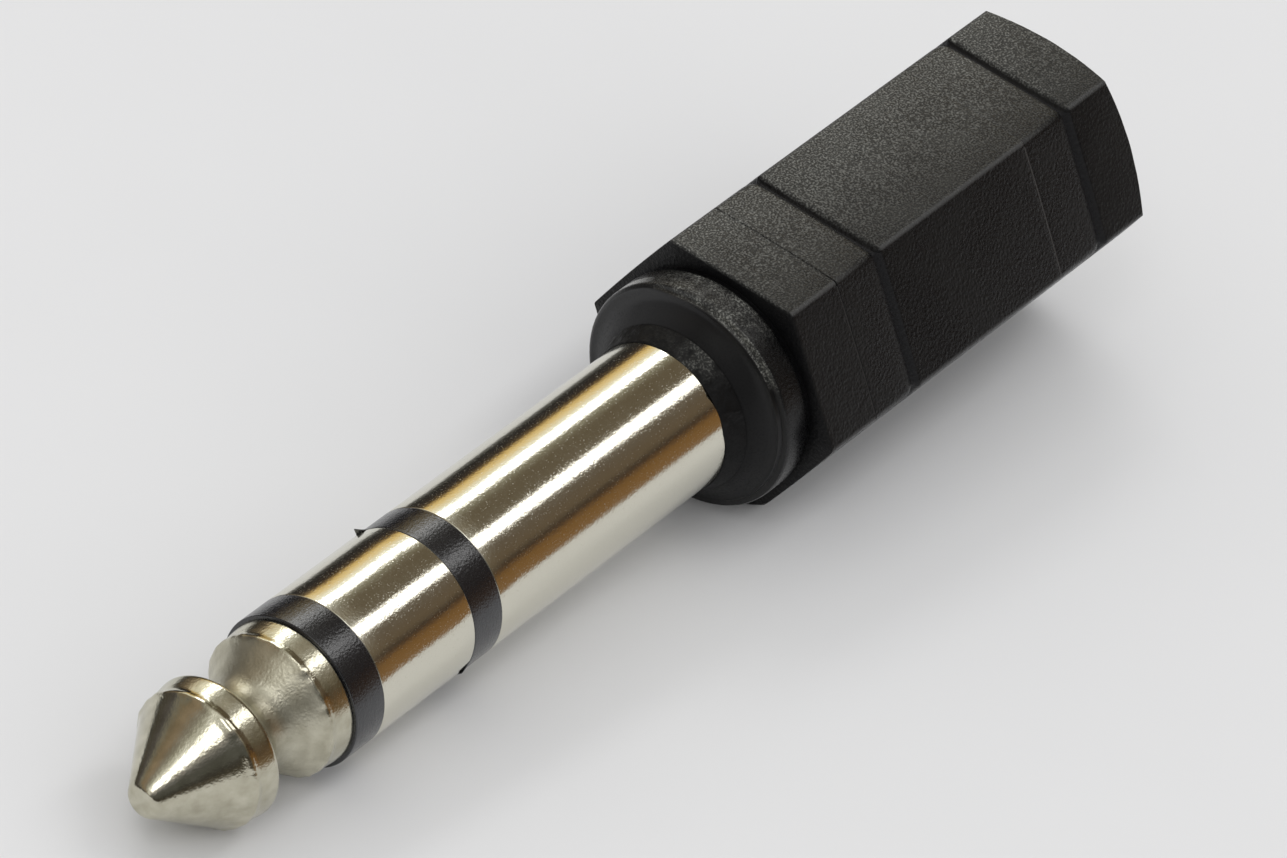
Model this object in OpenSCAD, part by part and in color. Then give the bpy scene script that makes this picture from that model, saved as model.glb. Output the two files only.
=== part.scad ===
// Adapter from a 6.35 mm stereo plug to a 3.5 mm stereo socket.
// Each piece is drawn along +X, with the nose of the plug at x = 0, and is then laid in its rest pose:
// the crest of the tip and the lower front edge of the grip touch the plane z = 0.

/* [Plug] */
// Diameter of the plug's shank
plug_d = 6.35; // [6:0.05:7]
// Length from the nose to the face of the boss
plug_len = 30.3; // [28.5:0.1:34]
// Length of the tip contact in front of the first insulating ring
tip_len = 8.35; // [8:0.05:9.5]
// Width of the front insulating ring
front_ring_w = 1.6; // [1:0.1:2.4]
// Length of the ring contact's band
band_len = 5.25; // [4:0.05:6.5]
// Width of the rear insulating ring
rear_ring_w = 1.6; // [1:0.1:2.4]
// Diameter of the rod that runs through the plug
rod_d = 2.4; // [2.2:0.05:2.7]
// Wall of the front insulator's tube
front_bush_wall = 0.36; // [0.3:0.01:0.45]
// Wall of the ring contact's tube
ring_tube_wall = 0.42; // [0.3:0.01:0.45]
// Wall of the rear insulator's tube
rear_bush_wall = 0.5; // [0.35:0.01:0.52]

/* [Tip] */
// Diameter of the flat on the nose
nose_d = 0.9; // [0.6:0.05:1.2]
// Radius round the nose
nose_round = 0.42; // [0.3:0.01:0.5]
// Slope of the cone to the axis
cone_slope = 35; // [33:0.5:37]
// Length from the nose to the end of the cone
cone_len = 3.05; // [2.7:0.05:3.3]
// Diameter at the end of the cone
cone_d = 5.54; // [5.2:0.01:5.7]
// Distance from the nose to the crest of the head
crest_x = 4.12; // [4:0.02:4.2]
// Diameter of the crest
crest_d = 5.88; // [5.8:0.01:6]
// Radius over the crest
crest_round = 0.3; // [0.2:0.01:0.35]
// Slope of the land in front of the crest
land_slope = 10; // [8:0.5:12]
// Distance from the nose to the middle of the neck
neck_x = 5.62; // [5.5:0.01:5.7]
// Diameter of the neck
neck_d = 3.66; // [3.4:0.02:4]
// Slope that falls from the crest to the neck
neck_front_slope = 50; // [47:0.5:52]
// Radius at the foot of that slope
neck_front_round = 0.85; // [0.75:0.01:0.9]
// Slope that rises from the neck to the shoulder
neck_rear_slope = 39; // [37:0.5:41]
// Radius at the foot of that slope
neck_rear_round = 1.15; // [1:0.01:1.3]
// Width of the shoulder behind the neck
shoulder_w = 0.82; // [0.75:0.01:0.9]
// Diameter of the shoulder
shoulder_d = 6; // [5.9:0.01:6.1]
// Radius on the front edge of the shoulder
shoulder_round = 0.2; // [0.1:0.01:0.3]

/* [Rear end of the plug] */
// Distance from the face of the boss to the sleeve's flange
flange_depth = 2.9; // [2.7:0.05:3.2]
// Diameter of the sleeve's flange
flange_d = 8; // [7.6:0.1:8.2]
// Thickness of the sleeve's flange
flange_t = 0.8; // [0.6:0.05:1]
// Reduction of the sleeve's radius where the grip is moulded on
shank_relief = 0.18; // [0.1:0.01:0.25]
// Thickness of the plug's tags
tag_t = 0.4; // [0.3:0.05:0.5]
// Diameter of the discs of the plug's tags
tag_d = 7; // [6.6:0.1:7.2]
// Thickness of the insulating washers
washer_t = 0.6; // [0.4:0.05:0.8]
// Diameter of the insulating washers
washer_d = 6.9; // [6.4:0.1:7.2]
// Width of the turned-over lip of the ring tube
lip_w = 0.3; // [0.2:0.05:0.4]
// Height of the rod's riveted head
rivet_h = 0.45; // [0.3:0.05:0.5]
// Diameter of the rod's riveted head
rivet_d = 3.2; // [2.8:0.1:3.4]
// Width of the tails of the tags
tail_w = 1.6; // [1.2:0.1:1.8]
// Length of a tail behind the riveted stack
tail_reach = 1.2; // [0.8:0.1:1.4]

/* [Grip] */
// Width across the flats of the grip
hex_af = 10.25; // [10:0.05:12]
// Length of the hexagon
hex_len = 20.85; // [20.4:0.05:26]
// Amount by which the hexagon's corners are broken
corner_cut = 0.05; // [0.02:0.01:0.1]
// Diameter of the collar
collar_d = 9.6; // [9:0.02:9.9]
// Length of the collar
collar_len = 1.7; // [1.5:0.05:2]
// Width of the broken front edge of the collar
collar_edge = 0.26; // [0.1:0.01:0.4]
// Diameter of the boss round the shank
boss_d = 7.3; // [7.2:0.02:7.5]
// Length of the boss
boss_len = 1.6; // [1.4:0.05:1.8]
// Step up from the shank to the boss
boss_edge = 0.06; // [0.02:0.01:0.15]
// Radius of the fillet between boss and collar
boss_fillet = 0.3; // [0.2:0.01:0.35]
// Length of the sloping face of the boss
boss_slope = 0.65; // [0.4:0.05:0.8]
// Distance from a section's front to its witness line
witness_x = 2.77; // [2.2:0.01:3.2]
// Distance from the front of the hexagon to the first groove
groove_x = 5.12; // [4.8:0.02:5.6]
// Distance between the two grooves, and between the two witness lines
groove_pitch = 12.08; // [11.5:0.02:13]
// Width of a groove
groove_w = 0.26; // [0.15:0.01:0.35]
// Depth of a groove
groove_depth = 0.32; // [0.2:0.01:0.4]
// Length of the slope that leads down to a groove
lead_len = 0.5; // [0.3:0.05:0.7]
// Depth of that slope at the groove
lead_depth = 0.09; // [0.04:0.01:0.12]
// Width of a witness line
witness_w = 0.1; // [0.06:0.01:0.16]
// Depth of a witness line
witness_depth = 0.05; // [0.03:0.01:0.08]
// Further amount by which the corners are broken behind a witness line
band_cut = 0.14; // [0.05:0.01:0.18]
// Distance from the corner of the rear edge to the rear face
rear_drop = 0.55; // [0.4:0.01:0.8]
// Diameter of the flat rear face
rear_face_d = 9.4; // [9:0.05:9.6]

/* [Socket] */
// Diameter of the bore in the socket's bush
socket_bore_d = 3.6; // [3.55:0.01:3.65]
// Diameter of the wider bore in the socket's insulating body
body_bore_d = 4; // [3.8:0.05:4.2]
// Depth of the socket from its mouth
socket_depth = 14.3; // [14:0.05:14.6]
// Wall between the socket's bore and its front face
socket_wall = 0.8; // [0.6:0.05:0.9]
// Diameter of the socket's insulating body
socket_d = 7.2; // [7.1:0.05:7.4]
// Length of the socket's metal bush
bush_len = 5; // [4.6:0.1:5.4]
// Diameter of the bush in the rear face
bush_d = 6; // [5.6:0.1:6.3]
// Thickness of the bush's inner flange
bush_flange_t = 0.8; // [0.6:0.05:1]
// Width of the chamfer at the mouth
mouth_chamfer = 0.25; // [0.1:0.01:0.35]
// Thickness of the bush's tag
bush_tag_t = 0.3; // [0.2:0.05:0.4]
// Distance from the mouth to the contact point of the ring spring
ring_contact_in = 8.2; // [7.8:0.1:8.6]
// Distance from the mouth to the contact point of the tip spring
tip_contact_in = 12.2; // [12:0.05:12.4]
// Thickness of the leaf springs
leaf_t = 0.25; // [0.2:0.01:0.3]
// Width of the leaf springs
leaf_w = 1.2; // [1:0.05:1.4]
// Height of the leaf springs above the axis
leaf_z = 2.6; // [2.5:0.01:2.65]
// Length of the bent slope in front of a contact point
leaf_bend = 1.9; // [1.6:0.05:2]
// Length of the free toe behind a contact point
leaf_toe = 0.9; // [0.6:0.05:1.2]
// Height of the contact points above the axis
contact_z = 1.5; // [1.4:0.01:1.65]
// Room above a leaf spring
leaf_room = 0.4; // [0.3:0.01:0.5]
// Length of a leaf's tail in front of the socket
leaf_tail = 1.2; // [0.9:0.05:1.4]
// Diameter of the link wires
wire_d = 0.8; // [0.6:0.05:0.85]

/* [Clearances] */
// Radial clearance between the plug's nested pieces
nest_gap = 0.03; // [0.01:0.01:0.05]
// Clearance between the moulded grip and what it holds
mould_gap = 0.02; // [0.01:0.01:0.05]
// Clearance of wires and leaf springs
wire_gap = 0.05; // [0.02:0.01:0.08]

/* [Hidden] */
$fn = 96;
eps = 0.01;

// Radii of the nested pieces, from the rod outwards
plug_r = plug_d / 2;
rod_r = rod_d / 2;
front_bush_in = rod_r + nest_gap;
front_bush_out = front_bush_in + front_bush_wall;
ring_tube_in = front_bush_out + nest_gap;
ring_tube_out = ring_tube_in + ring_tube_wall;
rear_bush_in = ring_tube_out + nest_gap;
rear_bush_out = rear_bush_in + rear_bush_wall;
sleeve_in = rear_bush_out + nest_gap;

// Stations along the visible plug
band_x = tip_len + front_ring_w;
rear_ring_x = band_x + band_len;
sleeve_x = rear_ring_x + rear_ring_w;

// Stations along the riveted stack
flange_x = plug_len + flange_depth;
sleeve_tag_x = flange_x + flange_t;
sleeve_washer_x = sleeve_tag_x + tag_t;
ring_tag_x = sleeve_washer_x + washer_t;
lip_x = ring_tag_x + tag_t;
ring_washer_x = lip_x + lip_w;
tip_tag_x = ring_washer_x + washer_t;
rivet_x = tip_tag_x + tag_t;
stack_end = rivet_x + rivet_h;

// Stations along the grip and the socket
collar_x = plug_len + boss_len;
hex_x = collar_x + collar_len;
end_x = hex_x + hex_len;
socket_x = end_x - socket_depth - socket_wall;
corner_r = hex_af / (2 * cos(30)) - corner_cut;
bush_x = end_x - bush_len;
bush_tag_x = bush_x - bush_tag_t;
link_room = socket_x - stack_end;

// Radii of the link wires and of the tails that they join
socket_r = socket_d / 2;
wire_r_pos = leaf_z + leaf_t + wire_gap + wire_d / 2;
tail_in = wire_r_pos + wire_d / 2 + wire_gap;
tail_out = tail_in + tag_t;
pocket_r = norm([tail_out, tail_w / 2]) + mould_gap;
side_reach = link_room / 3;
link_from = stack_end + wire_gap;
link_to = socket_x - wire_gap;

// Rest pose: the tilt at which the rounded crest and the grip's lower front edge lie at one height
crest_c = crest_d / 2 - crest_round;
tilt_rise = hex_af / 2 - crest_c;
tilt_run = hex_x - crest_x;
tilt = acos(crest_round / norm([tilt_rise, tilt_run])) - atan2(tilt_run, tilt_rise);
lift = hex_af / 2 * cos(tilt) - hex_x * sin(tilt);
centre_x = (end_x * cos(tilt) + (rear_face_d - nose_d) / 2 * sin(tilt)) / 2;

// Points of an arc in [x, radius], from angle a0 to angle a1
function arc(cx, cr, r, a0, a1, n = 8) =
  [for (i = [0:n]) let (a = a0 + (a1 - a0) * i / n) [cx + r * cos(a), cr + r * sin(a)]];

// Solid of revolution round the X axis, from points in [x, radius]
module turned(points) {
  rotate([0, 90, 0]) rotate_extrude() polygon([for (p = points) [p[1], p[0]]]);
}

// Plain tube along the X axis
module tube(x0, x1, r_in, r_out) {
  turned([[x0, r_in], [x1, r_in], [x1, r_out], [x0, r_out]]);
}

// Lays the finished piece in its rest pose
module rest() {
  translate([-centre_x, 0, lift]) rotate([0, -tilt, 0]) children();
}

// Box that starts at a radius and runs outwards, turned to an angle round the X axis
module spoke(x0, x1, r0, r1, width, angle) {
  rotate([angle, 0, 0]) translate([x0, r0, -width / 2]) cube([x1 - x0, r1 - r0, width]);
}

// Ring terminal with a tail that bends towards the rear
module tag(x, hole_r, angle, tail_end) {
  tube(x, x + tag_t, hole_r, tag_d / 2);
  spoke(x, x + tag_t, tag_d / 2 - tag_t, tail_out, tail_w, angle);
  spoke(x, tail_end, tail_in, tail_out, tail_w, angle);
}

// Leaf spring with a bent contact point and a free end
module leaf(contact_x, side) {
  bend_x = max(contact_x - leaf_bend, socket_x + socket_wall);
  toe_x = contact_x + leaf_toe;
  toe_z = contact_z + leaf_toe / 2;
  low = [[socket_x - leaf_tail, leaf_z], [bend_x, leaf_z], [contact_x, contact_z], [toe_x, toe_z]];
  high = [for (i = [3:-1:0]) [low[i][0], low[i][1] + leaf_t]];
  rotate([side, 0, 0]) rotate([90, 0, 0])
    linear_extrude(height = leaf_w, center = true) polygon(concat(low, high));
}

// Room for a leaf spring: a close slot through the front wall and a wide one behind it
module leaf_slot(contact_x, side) {
  slot_w = leaf_w + 2 * wire_gap;
  slot_end = contact_x + leaf_toe + leaf_room;
  rotate([side, 0, 0]) {
    translate([socket_x - eps, -slot_w / 2, leaf_z - wire_gap])
      cube([socket_wall + 2 * eps, slot_w, leaf_t + 2 * wire_gap]);
    translate([socket_x + socket_wall, -slot_w / 2, 0])
      cube([slot_end - socket_x - socket_wall, slot_w, leaf_z + leaf_t + leaf_room]);
  }
}

// Outline of one pair of flats, with both witness lines and both grooves
function flat_edge() = concat([[hex_x, 0]],
  [for (i = [0, 1]) let (w = hex_x + witness_x + i * groove_pitch, g = hex_x + groove_x + i * groove_pitch)
    each [[w - witness_w / 2, 0], [w, -witness_depth], [w + witness_w / 2, 0],
      [g - lead_len, 0], [g, -lead_depth], [g, -groove_depth],
      [g + groove_w, -groove_depth], [g + groove_w, -lead_depth / 2], [g + groove_w + lead_depth, 0]]],
  [[end_x, 0]]);

// Slab between two opposite flats
module flat_slab() {
  edge = flat_edge();
  n = len(edge);
  top = [for (p = edge) [p[0], hex_af / 2 + p[1]]];
  low = [for (i = [1:n]) [edge[n - i][0], -hex_af / 2 - edge[n - i][1]]];
  rotate([90, 0, 0]) linear_extrude(height = 2 * hex_af, center = true) polygon(concat(top, low));
}

// Turned limit of the corners, with the bands behind the witness lines and the rear bevel
module corner_limit() {
  bands = [for (i = [0, 1])
    let (w = hex_x + witness_x + i * groove_pitch, g = hex_x + groove_x + i * groove_pitch)
    each [[w, corner_r], [w, corner_r - band_cut], [g, corner_r - lead_depth / 2], [g, corner_r]]];
  turned(concat([[hex_x, 0], [hex_x, corner_r]], bands,
    [[end_x - rear_drop, corner_r], [end_x, rear_face_d / 2], [end_x, 0]]));
}

// Collar with a broken front edge, and the boss that closes round the shank
module collar_and_boss() {
  face_r = boss_d / 2;
  turned(concat(
    [[plug_len, 0], [plug_len, plug_r + boss_edge], [plug_len + boss_slope, face_r - boss_edge]],
    arc(collar_x - boss_fillet, face_r + boss_fillet, boss_fillet, 270, 360, 6),
    [[collar_x, collar_d / 2 - collar_edge], [collar_x + collar_edge, collar_d / 2],
      [sleeve_tag_x, collar_d / 2], [sleeve_tag_x, 0]]));
}

// Space inside the grip, with a channel for the bush tag's tail
module grip_hollow() {
  held_r = plug_r - shank_relief + mould_gap;
  turned([[plug_len - 1, 0], [plug_len - 1, held_r],
    [flange_x, held_r], [flange_x, flange_d / 2 + mould_gap],
    [sleeve_tag_x, flange_d / 2 + mould_gap], [sleeve_tag_x, pocket_r], [socket_x, pocket_r],
    [socket_x, socket_r + mould_gap], [bush_x + bush_flange_t, socket_r + mould_gap],
    [bush_x + bush_flange_t, bush_d / 2 + mould_gap], [end_x + 1, bush_d / 2 + mould_gap],
    [end_x + 1, 0]]);
  spoke(socket_x - eps, bush_x, 0, tail_in + bush_tag_t + mould_gap, tail_w + 2 * mould_gap, 0);
}

// Turned tip of the plug with its rod, riveted over the last tag
module tip_contact() {
  color("gainsboro") rest() turned(concat(
    [[0, 0]],
    arc(nose_round, nose_d / 2, nose_round, 180, 90 + cone_slope, 6),
    [[cone_len, cone_d / 2]],
    arc(crest_x, crest_c, crest_round, 90 + land_slope, 90 - neck_front_slope, 6),
    arc(neck_x, neck_d / 2 + neck_front_round, neck_front_round, 270 - neck_front_slope, 270, 6),
    arc(neck_x, neck_d / 2 + neck_rear_round, neck_rear_round, 275, 270 + neck_rear_slope, 5),
    arc(tip_len - shoulder_w, shoulder_d / 2 - shoulder_round, shoulder_round, 90 + neck_rear_slope, 90, 4),
    [[tip_len, shoulder_d / 2], [tip_len, rod_r], [rivet_x, rod_r], [rivet_x, rivet_d / 2],
      [rivet_x + rivet_h / 2, rivet_d / 2], [stack_end, rivet_d / 4], [stack_end, 0]]));
}

// Front black ring with its tube round the rod
module tip_insulator() {
  color("#1c1c1e") rest() turned([[tip_len, front_bush_in], [tip_len, plug_r], [band_x, plug_r],
    [band_x, front_bush_out], [ring_washer_x, front_bush_out], [ring_washer_x, front_bush_in]]);
}

// Ring contact: the band and its tube, turned over at the rear
module ring_contact() {
  color("silver") rest() turned([[band_x, ring_tube_in], [band_x, plug_r], [rear_ring_x, plug_r],
    [rear_ring_x, ring_tube_out], [lip_x, ring_tube_out], [lip_x, ring_tube_out + lip_w],
    [lip_x + lip_w / 2, ring_tube_out + lip_w], [ring_washer_x, ring_tube_out],
    [ring_washer_x, ring_tube_in]]);
}

// Rear black ring with its tube inside the sleeve
module ring_insulator() {
  color("#1c1c1e") rest() turned([[rear_ring_x, rear_bush_in], [rear_ring_x, plug_r], [sleeve_x, plug_r],
    [sleeve_x, rear_bush_out], [sleeve_washer_x, rear_bush_out], [sleeve_washer_x, rear_bush_in]]);
}

// Long barrel of the plug with the flange that the grip holds
module sleeve_contact() {
  held_r = plug_r - shank_relief;
  color("silver") rest() turned([[sleeve_x, sleeve_in], [sleeve_x, plug_r], [plug_len, plug_r],
    [plug_len, held_r], [flange_x, held_r], [flange_x, flange_d / 2], [sleeve_tag_x, flange_d / 2],
    [sleeve_tag_x, sleeve_in]]);
}

module sleeve_tag() {
  color("goldenrod") rest() tag(sleeve_tag_x, sleeve_in, 0, stack_end + side_reach);
}

module sleeve_washer() {
  color("tan") rest() tube(sleeve_washer_x, ring_tag_x, rear_bush_in, washer_d / 2);
}

module ring_tag() {
  color("goldenrod") rest() tag(ring_tag_x, rear_bush_in, 270, stack_end + tail_reach);
}

module ring_washer() {
  color("tan") rest() tube(ring_washer_x, tip_tag_x, front_bush_in, washer_d / 2);
}

module tip_tag() {
  color("goldenrod") rest() tag(tip_tag_x, front_bush_in, 90, stack_end + tail_reach);
}

// Moulded body of the socket, with a slot for each leaf spring
module socket_body() {
  bore_r = body_bore_d / 2;
  color("dimgray") rest() difference() {
    turned([[socket_x, 0], [socket_x, socket_r], [bush_tag_x, socket_r], [bush_tag_x, bore_r],
      [socket_x + socket_wall, bore_r], [socket_x + socket_wall, 0]]);
    leaf_slot(end_x - tip_contact_in, 0);
    leaf_slot(end_x - ring_contact_in, 180);
  }
}

// Metal bush of the socket, flush with the rear face
module socket_bush() {
  bore_r = socket_bore_d / 2;
  color("silver") rest() turned([[bush_x, bore_r], [bush_x, socket_r],
    [bush_x + bush_flange_t, socket_r], [bush_x + bush_flange_t, bush_d / 2],
    [end_x, bush_d / 2], [end_x, bore_r + mouth_chamfer], [end_x - mouth_chamfer, bore_r]]);
}

// Tag between the socket's body and its bush, with a tail that runs forward
module socket_tag() {
  tail_r = tail_in + bush_tag_t;
  color("goldenrod") rest() {
    tube(bush_tag_x, bush_x, body_bore_d / 2, socket_r);
    spoke(bush_tag_x, bush_x, socket_r - bush_tag_t, tail_r, tail_w, 0);
    spoke(socket_x - side_reach, bush_x, tail_in, tail_r, tail_w, 0);
  }
}

module tip_spring() {
  color("lightgray") rest() leaf(end_x - tip_contact_in, 0);
}

module ring_spring() {
  color("lightgray") rest() leaf(end_x - ring_contact_in, 180);
}

// Short wire from a plug tag to a socket terminal
module link(angle) {
  rotate([angle, 0, 0]) translate([link_from, wire_r_pos, 0])
    rotate([0, 90, 0]) cylinder(h = link_to - link_from, d = wire_d, $fn = 32);
}

module tip_link() {
  color("peru") rest() link(90);
}

module ring_link() {
  color("peru") rest() link(270);
}

module sleeve_link() {
  color("peru") rest() link(0);
}

// Moulded grip: hexagon with grooves and witness lines, round collar and boss
module grip_body() {
  color("#2a2a2c") rest() difference() {
    union() {
      intersection() {
        flat_slab();
        rotate([60, 0, 0]) flat_slab();
        rotate([120, 0, 0]) flat_slab();
        corner_limit();
      }
      collar_and_boss();
    }
    grip_hollow();
  }
}

tip_contact();
tip_insulator();
ring_contact();
ring_insulator();
sleeve_contact();
sleeve_tag();
sleeve_washer();
ring_tag();
ring_washer();
tip_tag();
socket_body();
socket_bush();
socket_tag();
tip_spring();
ring_spring();
tip_link();
ring_link();
sleeve_link();
grip_body();
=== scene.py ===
import bpy
import math
from mathutils import Matrix, Quaternion, Vector, noise


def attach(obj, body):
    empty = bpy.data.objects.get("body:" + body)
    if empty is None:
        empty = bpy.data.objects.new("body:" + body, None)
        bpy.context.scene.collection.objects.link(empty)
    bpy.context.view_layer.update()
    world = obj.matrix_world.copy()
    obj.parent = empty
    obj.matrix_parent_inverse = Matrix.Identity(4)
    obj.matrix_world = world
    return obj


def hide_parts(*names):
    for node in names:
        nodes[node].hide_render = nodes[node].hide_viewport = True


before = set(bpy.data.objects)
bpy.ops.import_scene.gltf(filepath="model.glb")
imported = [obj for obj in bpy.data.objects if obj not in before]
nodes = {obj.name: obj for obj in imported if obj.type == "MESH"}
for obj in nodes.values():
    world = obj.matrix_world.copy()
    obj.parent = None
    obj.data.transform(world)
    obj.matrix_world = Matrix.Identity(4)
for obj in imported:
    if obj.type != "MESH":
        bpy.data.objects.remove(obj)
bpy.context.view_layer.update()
mm = 0.001

# How the adapter lies: its own axis rises from the tip to the socket
lay = {"tilt": math.radians(4.237311), "shift": -27.307594, "lift": 2.628367}
layPlace = (lay["shift"] * mm, 0, lay["lift"] * mm)
layMatrix = Matrix.Translation(layPlace) @ Matrix.Rotation(-lay["tilt"], 4, "Y")


# Node helpers

def feed(tree, socket, value):
    if isinstance(value, bpy.types.NodeSocket):
        tree.links.new(value, socket)
    else:
        socket.default_value = value


def newNode(tree, kind, inputs=None, **settings):
    node = tree.nodes.new(kind)
    for name, value in settings.items():
        setattr(node, name, value)
    for name, value in (inputs or {}).items():
        feed(tree, node.inputs[name], value)
    return node


def setSockets(tree, surface, values):
    for name, value in values.items():
        feed(tree, surface.inputs[name], value)


def calc(tree, operation, first, second=0.0, third=0.0, clamp=False):
    node = newNode(tree, "ShaderNodeMath", {0: first, 1: second, 2: third}, operation=operation)
    node.use_clamp = clamp
    return node.outputs[0]


def product(tree, *values):
    result = values[0]
    for value in values[1:]:
        result = calc(tree, "MULTIPLY", result, value)
    return result


# 0 up to start, then rising by perMm for each millimetre, to 1; a negative perMm rises the other way
def fadeIn(tree, length, start, perMm):
    return calc(tree, "MULTIPLY_ADD", length, perMm / mm, -perMm * start, clamp=True)


def between(tree, length, first, last):
    past = calc(tree, "GREATER_THAN", length, first * mm)
    return product(tree, past, calc(tree, "LESS_THAN", length, last * mm))


def splitAxes(tree, vector):
    outputs = newNode(tree, "ShaderNodeSeparateXYZ", {0: vector}).outputs
    return outputs["X"], outputs["Y"], outputs["Z"]


def ramp(tree, value, stops):
    node = newNode(tree, "ShaderNodeValToRGB", {"Fac": value})
    band = node.color_ramp
    while len(band.elements) < len(stops):
        band.elements.new(0.5)
    for element, (place, colour) in zip(band.elements, stops):
        element.position = place
        element.color = (*colour, 1)
    return node.outputs["Color"]


# Three values that change along a piece: stops are (distance from the nose, values)
def zonesAlong(tree, length, start, span, stops):
    along = calc(tree, "MULTIPLY_ADD", length, 1 / (span * mm), -start / span, clamp=True)
    values = ramp(tree, along, [((x - start) / span, three) for x, three in stops])
    return newNode(tree, "ShaderNodeSeparateColor", {0: values}).outputs


def mixColours(tree, part, first, second):
    node = newNode(tree, "ShaderNodeMix", {0: part}, data_type="RGBA")
    for index, colour in ((6, first), (7, second)):
        feed(tree, node.inputs[index], colour if isinstance(colour, bpy.types.NodeSocket) else (*colour, 1))
    return node.outputs[2]


def dentedNormal(tree, height, distance, strength=1.0):
    node = newNode(tree, "ShaderNodeBump", {"Strength": strength, "Distance": distance * mm, "Height": height})
    return node.outputs["Normal"]


def newGroup(name, inputs, outputs):
    tree = bpy.data.node_groups.new(name, "ShaderNodeTree")
    for label, kind, value in inputs:
        socket = tree.interface.new_socket(name=label, in_out="INPUT", socket_type=kind)
        if value is not None:
            socket.default_value = value
    for label, kind in outputs:
        tree.interface.new_socket(name=label, in_out="OUTPUT", socket_type=kind)
    return tree, tree.nodes.new("NodeGroupInput").outputs, tree.nodes.new("NodeGroupOutput")


def placeGroup(tree, group, inputs):
    return newNode(tree, "ShaderNodeGroup", inputs, node_tree=group).outputs


# A material whose pattern follows the adapter's own axis
def newMaterial(name):
    material = bpy.data.materials.new(name)
    material.use_nodes = True
    tree = material.node_tree
    tree.nodes.clear()
    surface = tree.nodes.new("ShaderNodeBsdfPrincipled")
    output = tree.nodes.new("ShaderNodeOutputMaterial")
    tree.links.new(surface.outputs["BSDF"], output.inputs["Surface"])
    place = newNode(tree, "ShaderNodeMapping", {
        "Vector": tree.nodes.new("ShaderNodeTexCoord").outputs["Object"],
        "Location": layPlace, "Rotation": (0, -lay["tilt"], 0)}, vector_type="TEXTURE")
    return material, tree, surface, place.outputs[0]


# Shared effects. Sizes go in as millimetres.

effects = {"pitDepth": 0.45, "fineScale": 1.7, "speckContrast": (4.0, -1.9), "blotchContrast": (2.4, -0.7),
           "pimpleSlope": -3.4, "pimpleChoice": (2.4, -1.2), "turningAround": 100.0}


def makeGrain():
    group, given, out = newGroup("spark eroded grain", [
        ("Vector", "NodeSocketVector", None), ("Size", "NodeSocketFloat", 0.2),
        ("Roughness", "NodeSocketFloat", 0.6)], [("Height", "NodeSocketFloat"), ("Speck", "NodeSocketFloat")])
    scale = calc(group, "DIVIDE", 1 / mm, given["Size"])
    coarse = newNode(group, "ShaderNodeTexNoise", {
        "Vector": given["Vector"], "Scale": scale, "Detail": 4.0, "Roughness": given["Roughness"]})
    cells = newNode(group, "ShaderNodeTexVoronoi", {"Vector": given["Vector"], "Scale": scale}, feature="F1")
    pits = calc(group, "MULTIPLY", cells.outputs["Distance"], effects["pitDepth"])
    group.links.new(calc(group, "ADD", coarse.outputs["Fac"], pits), out.inputs["Height"])
    fineScale = calc(group, "MULTIPLY", scale, effects["fineScale"])
    fine = newNode(group, "ShaderNodeTexNoise", {"Vector": given["Vector"], "Scale": fineScale, "Detail": 2.0})
    speck = calc(group, "MULTIPLY_ADD", fine.outputs["Fac"], *effects["speckContrast"], clamp=True)
    group.links.new(speck, out.inputs["Speck"])
    return group


def makeTurning():
    group, given, out = newGroup("turning marks", [
        ("Vector", "NodeSocketVector", None), ("Pitch", "NodeSocketFloat", 0.1),
        ("Wander", "NodeSocketFloat", 0.2)], [("Height", "NodeSocketFloat")])
    x, y, z = splitAxes(group, given["Vector"])
    around = calc(group, "MULTIPLY", given["Wander"], effects["turningAround"])
    stretched = newNode(group, "ShaderNodeCombineXYZ", {
        "X": product(group, x, calc(group, "DIVIDE", 1 / mm, given["Pitch"])),
        "Y": product(group, y, around), "Z": product(group, z, around)})
    lines = newNode(group, "ShaderNodeTexNoise", {
        "Vector": stretched.outputs[0], "Scale": 1.0, "Detail": 3.0, "Roughness": 0.6})
    group.links.new(lines.outputs["Fac"], out.inputs["Height"])
    return group


def makeBlotches():
    group, given, out = newGroup("soft blotches", [
        ("Vector", "NodeSocketVector", None), ("Size", "NodeSocketFloat", 1.0)],
        [("Mask", "NodeSocketFloat")])
    cloud = newNode(group, "ShaderNodeTexNoise", {
        "Vector": given["Vector"], "Scale": calc(group, "DIVIDE", 1 / mm, given["Size"]), "Detail": 3.0})
    mask = calc(group, "MULTIPLY_ADD", cloud.outputs["Fac"], *effects["blotchContrast"], clamp=True)
    group.links.new(mask, out.inputs["Mask"])
    return group


def makePimples():
    group, given, out = newGroup("scattered pimples", [
        ("Vector", "NodeSocketVector", None), ("Size", "NodeSocketFloat", 0.3)],
        [("Height", "NodeSocketFloat")])
    cells = newNode(group, "ShaderNodeTexVoronoi", {
        "Vector": given["Vector"], "Scale": calc(group, "DIVIDE", 1 / mm, given["Size"])}, feature="F1")
    dome = calc(group, "MULTIPLY_ADD", cells.outputs["Distance"], effects["pimpleSlope"], 1.0, clamp=True)
    choice = newNode(group, "ShaderNodeSeparateColor", {"Color": cells.outputs["Color"]})
    strength = calc(group, "MULTIPLY_ADD", choice.outputs[0], *effects["pimpleChoice"], clamp=True)
    group.links.new(product(group, dome, strength), out.inputs["Height"])
    return group


grain = makeGrain()
pimples = makePimples()
turning = makeTurning()
blotches = makeBlotches()
print("node groups made")


def placeGrain(tree, place, look):
    return placeGroup(tree, grain, {
        "Vector": place, "Size": look["grainSize"], "Roughness": look["grainDetail"]})


def placeBlotches(tree, place, size):
    return placeGroup(tree, blotches, {"Vector": place, "Size": size})["Mask"]


# Materials

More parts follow.
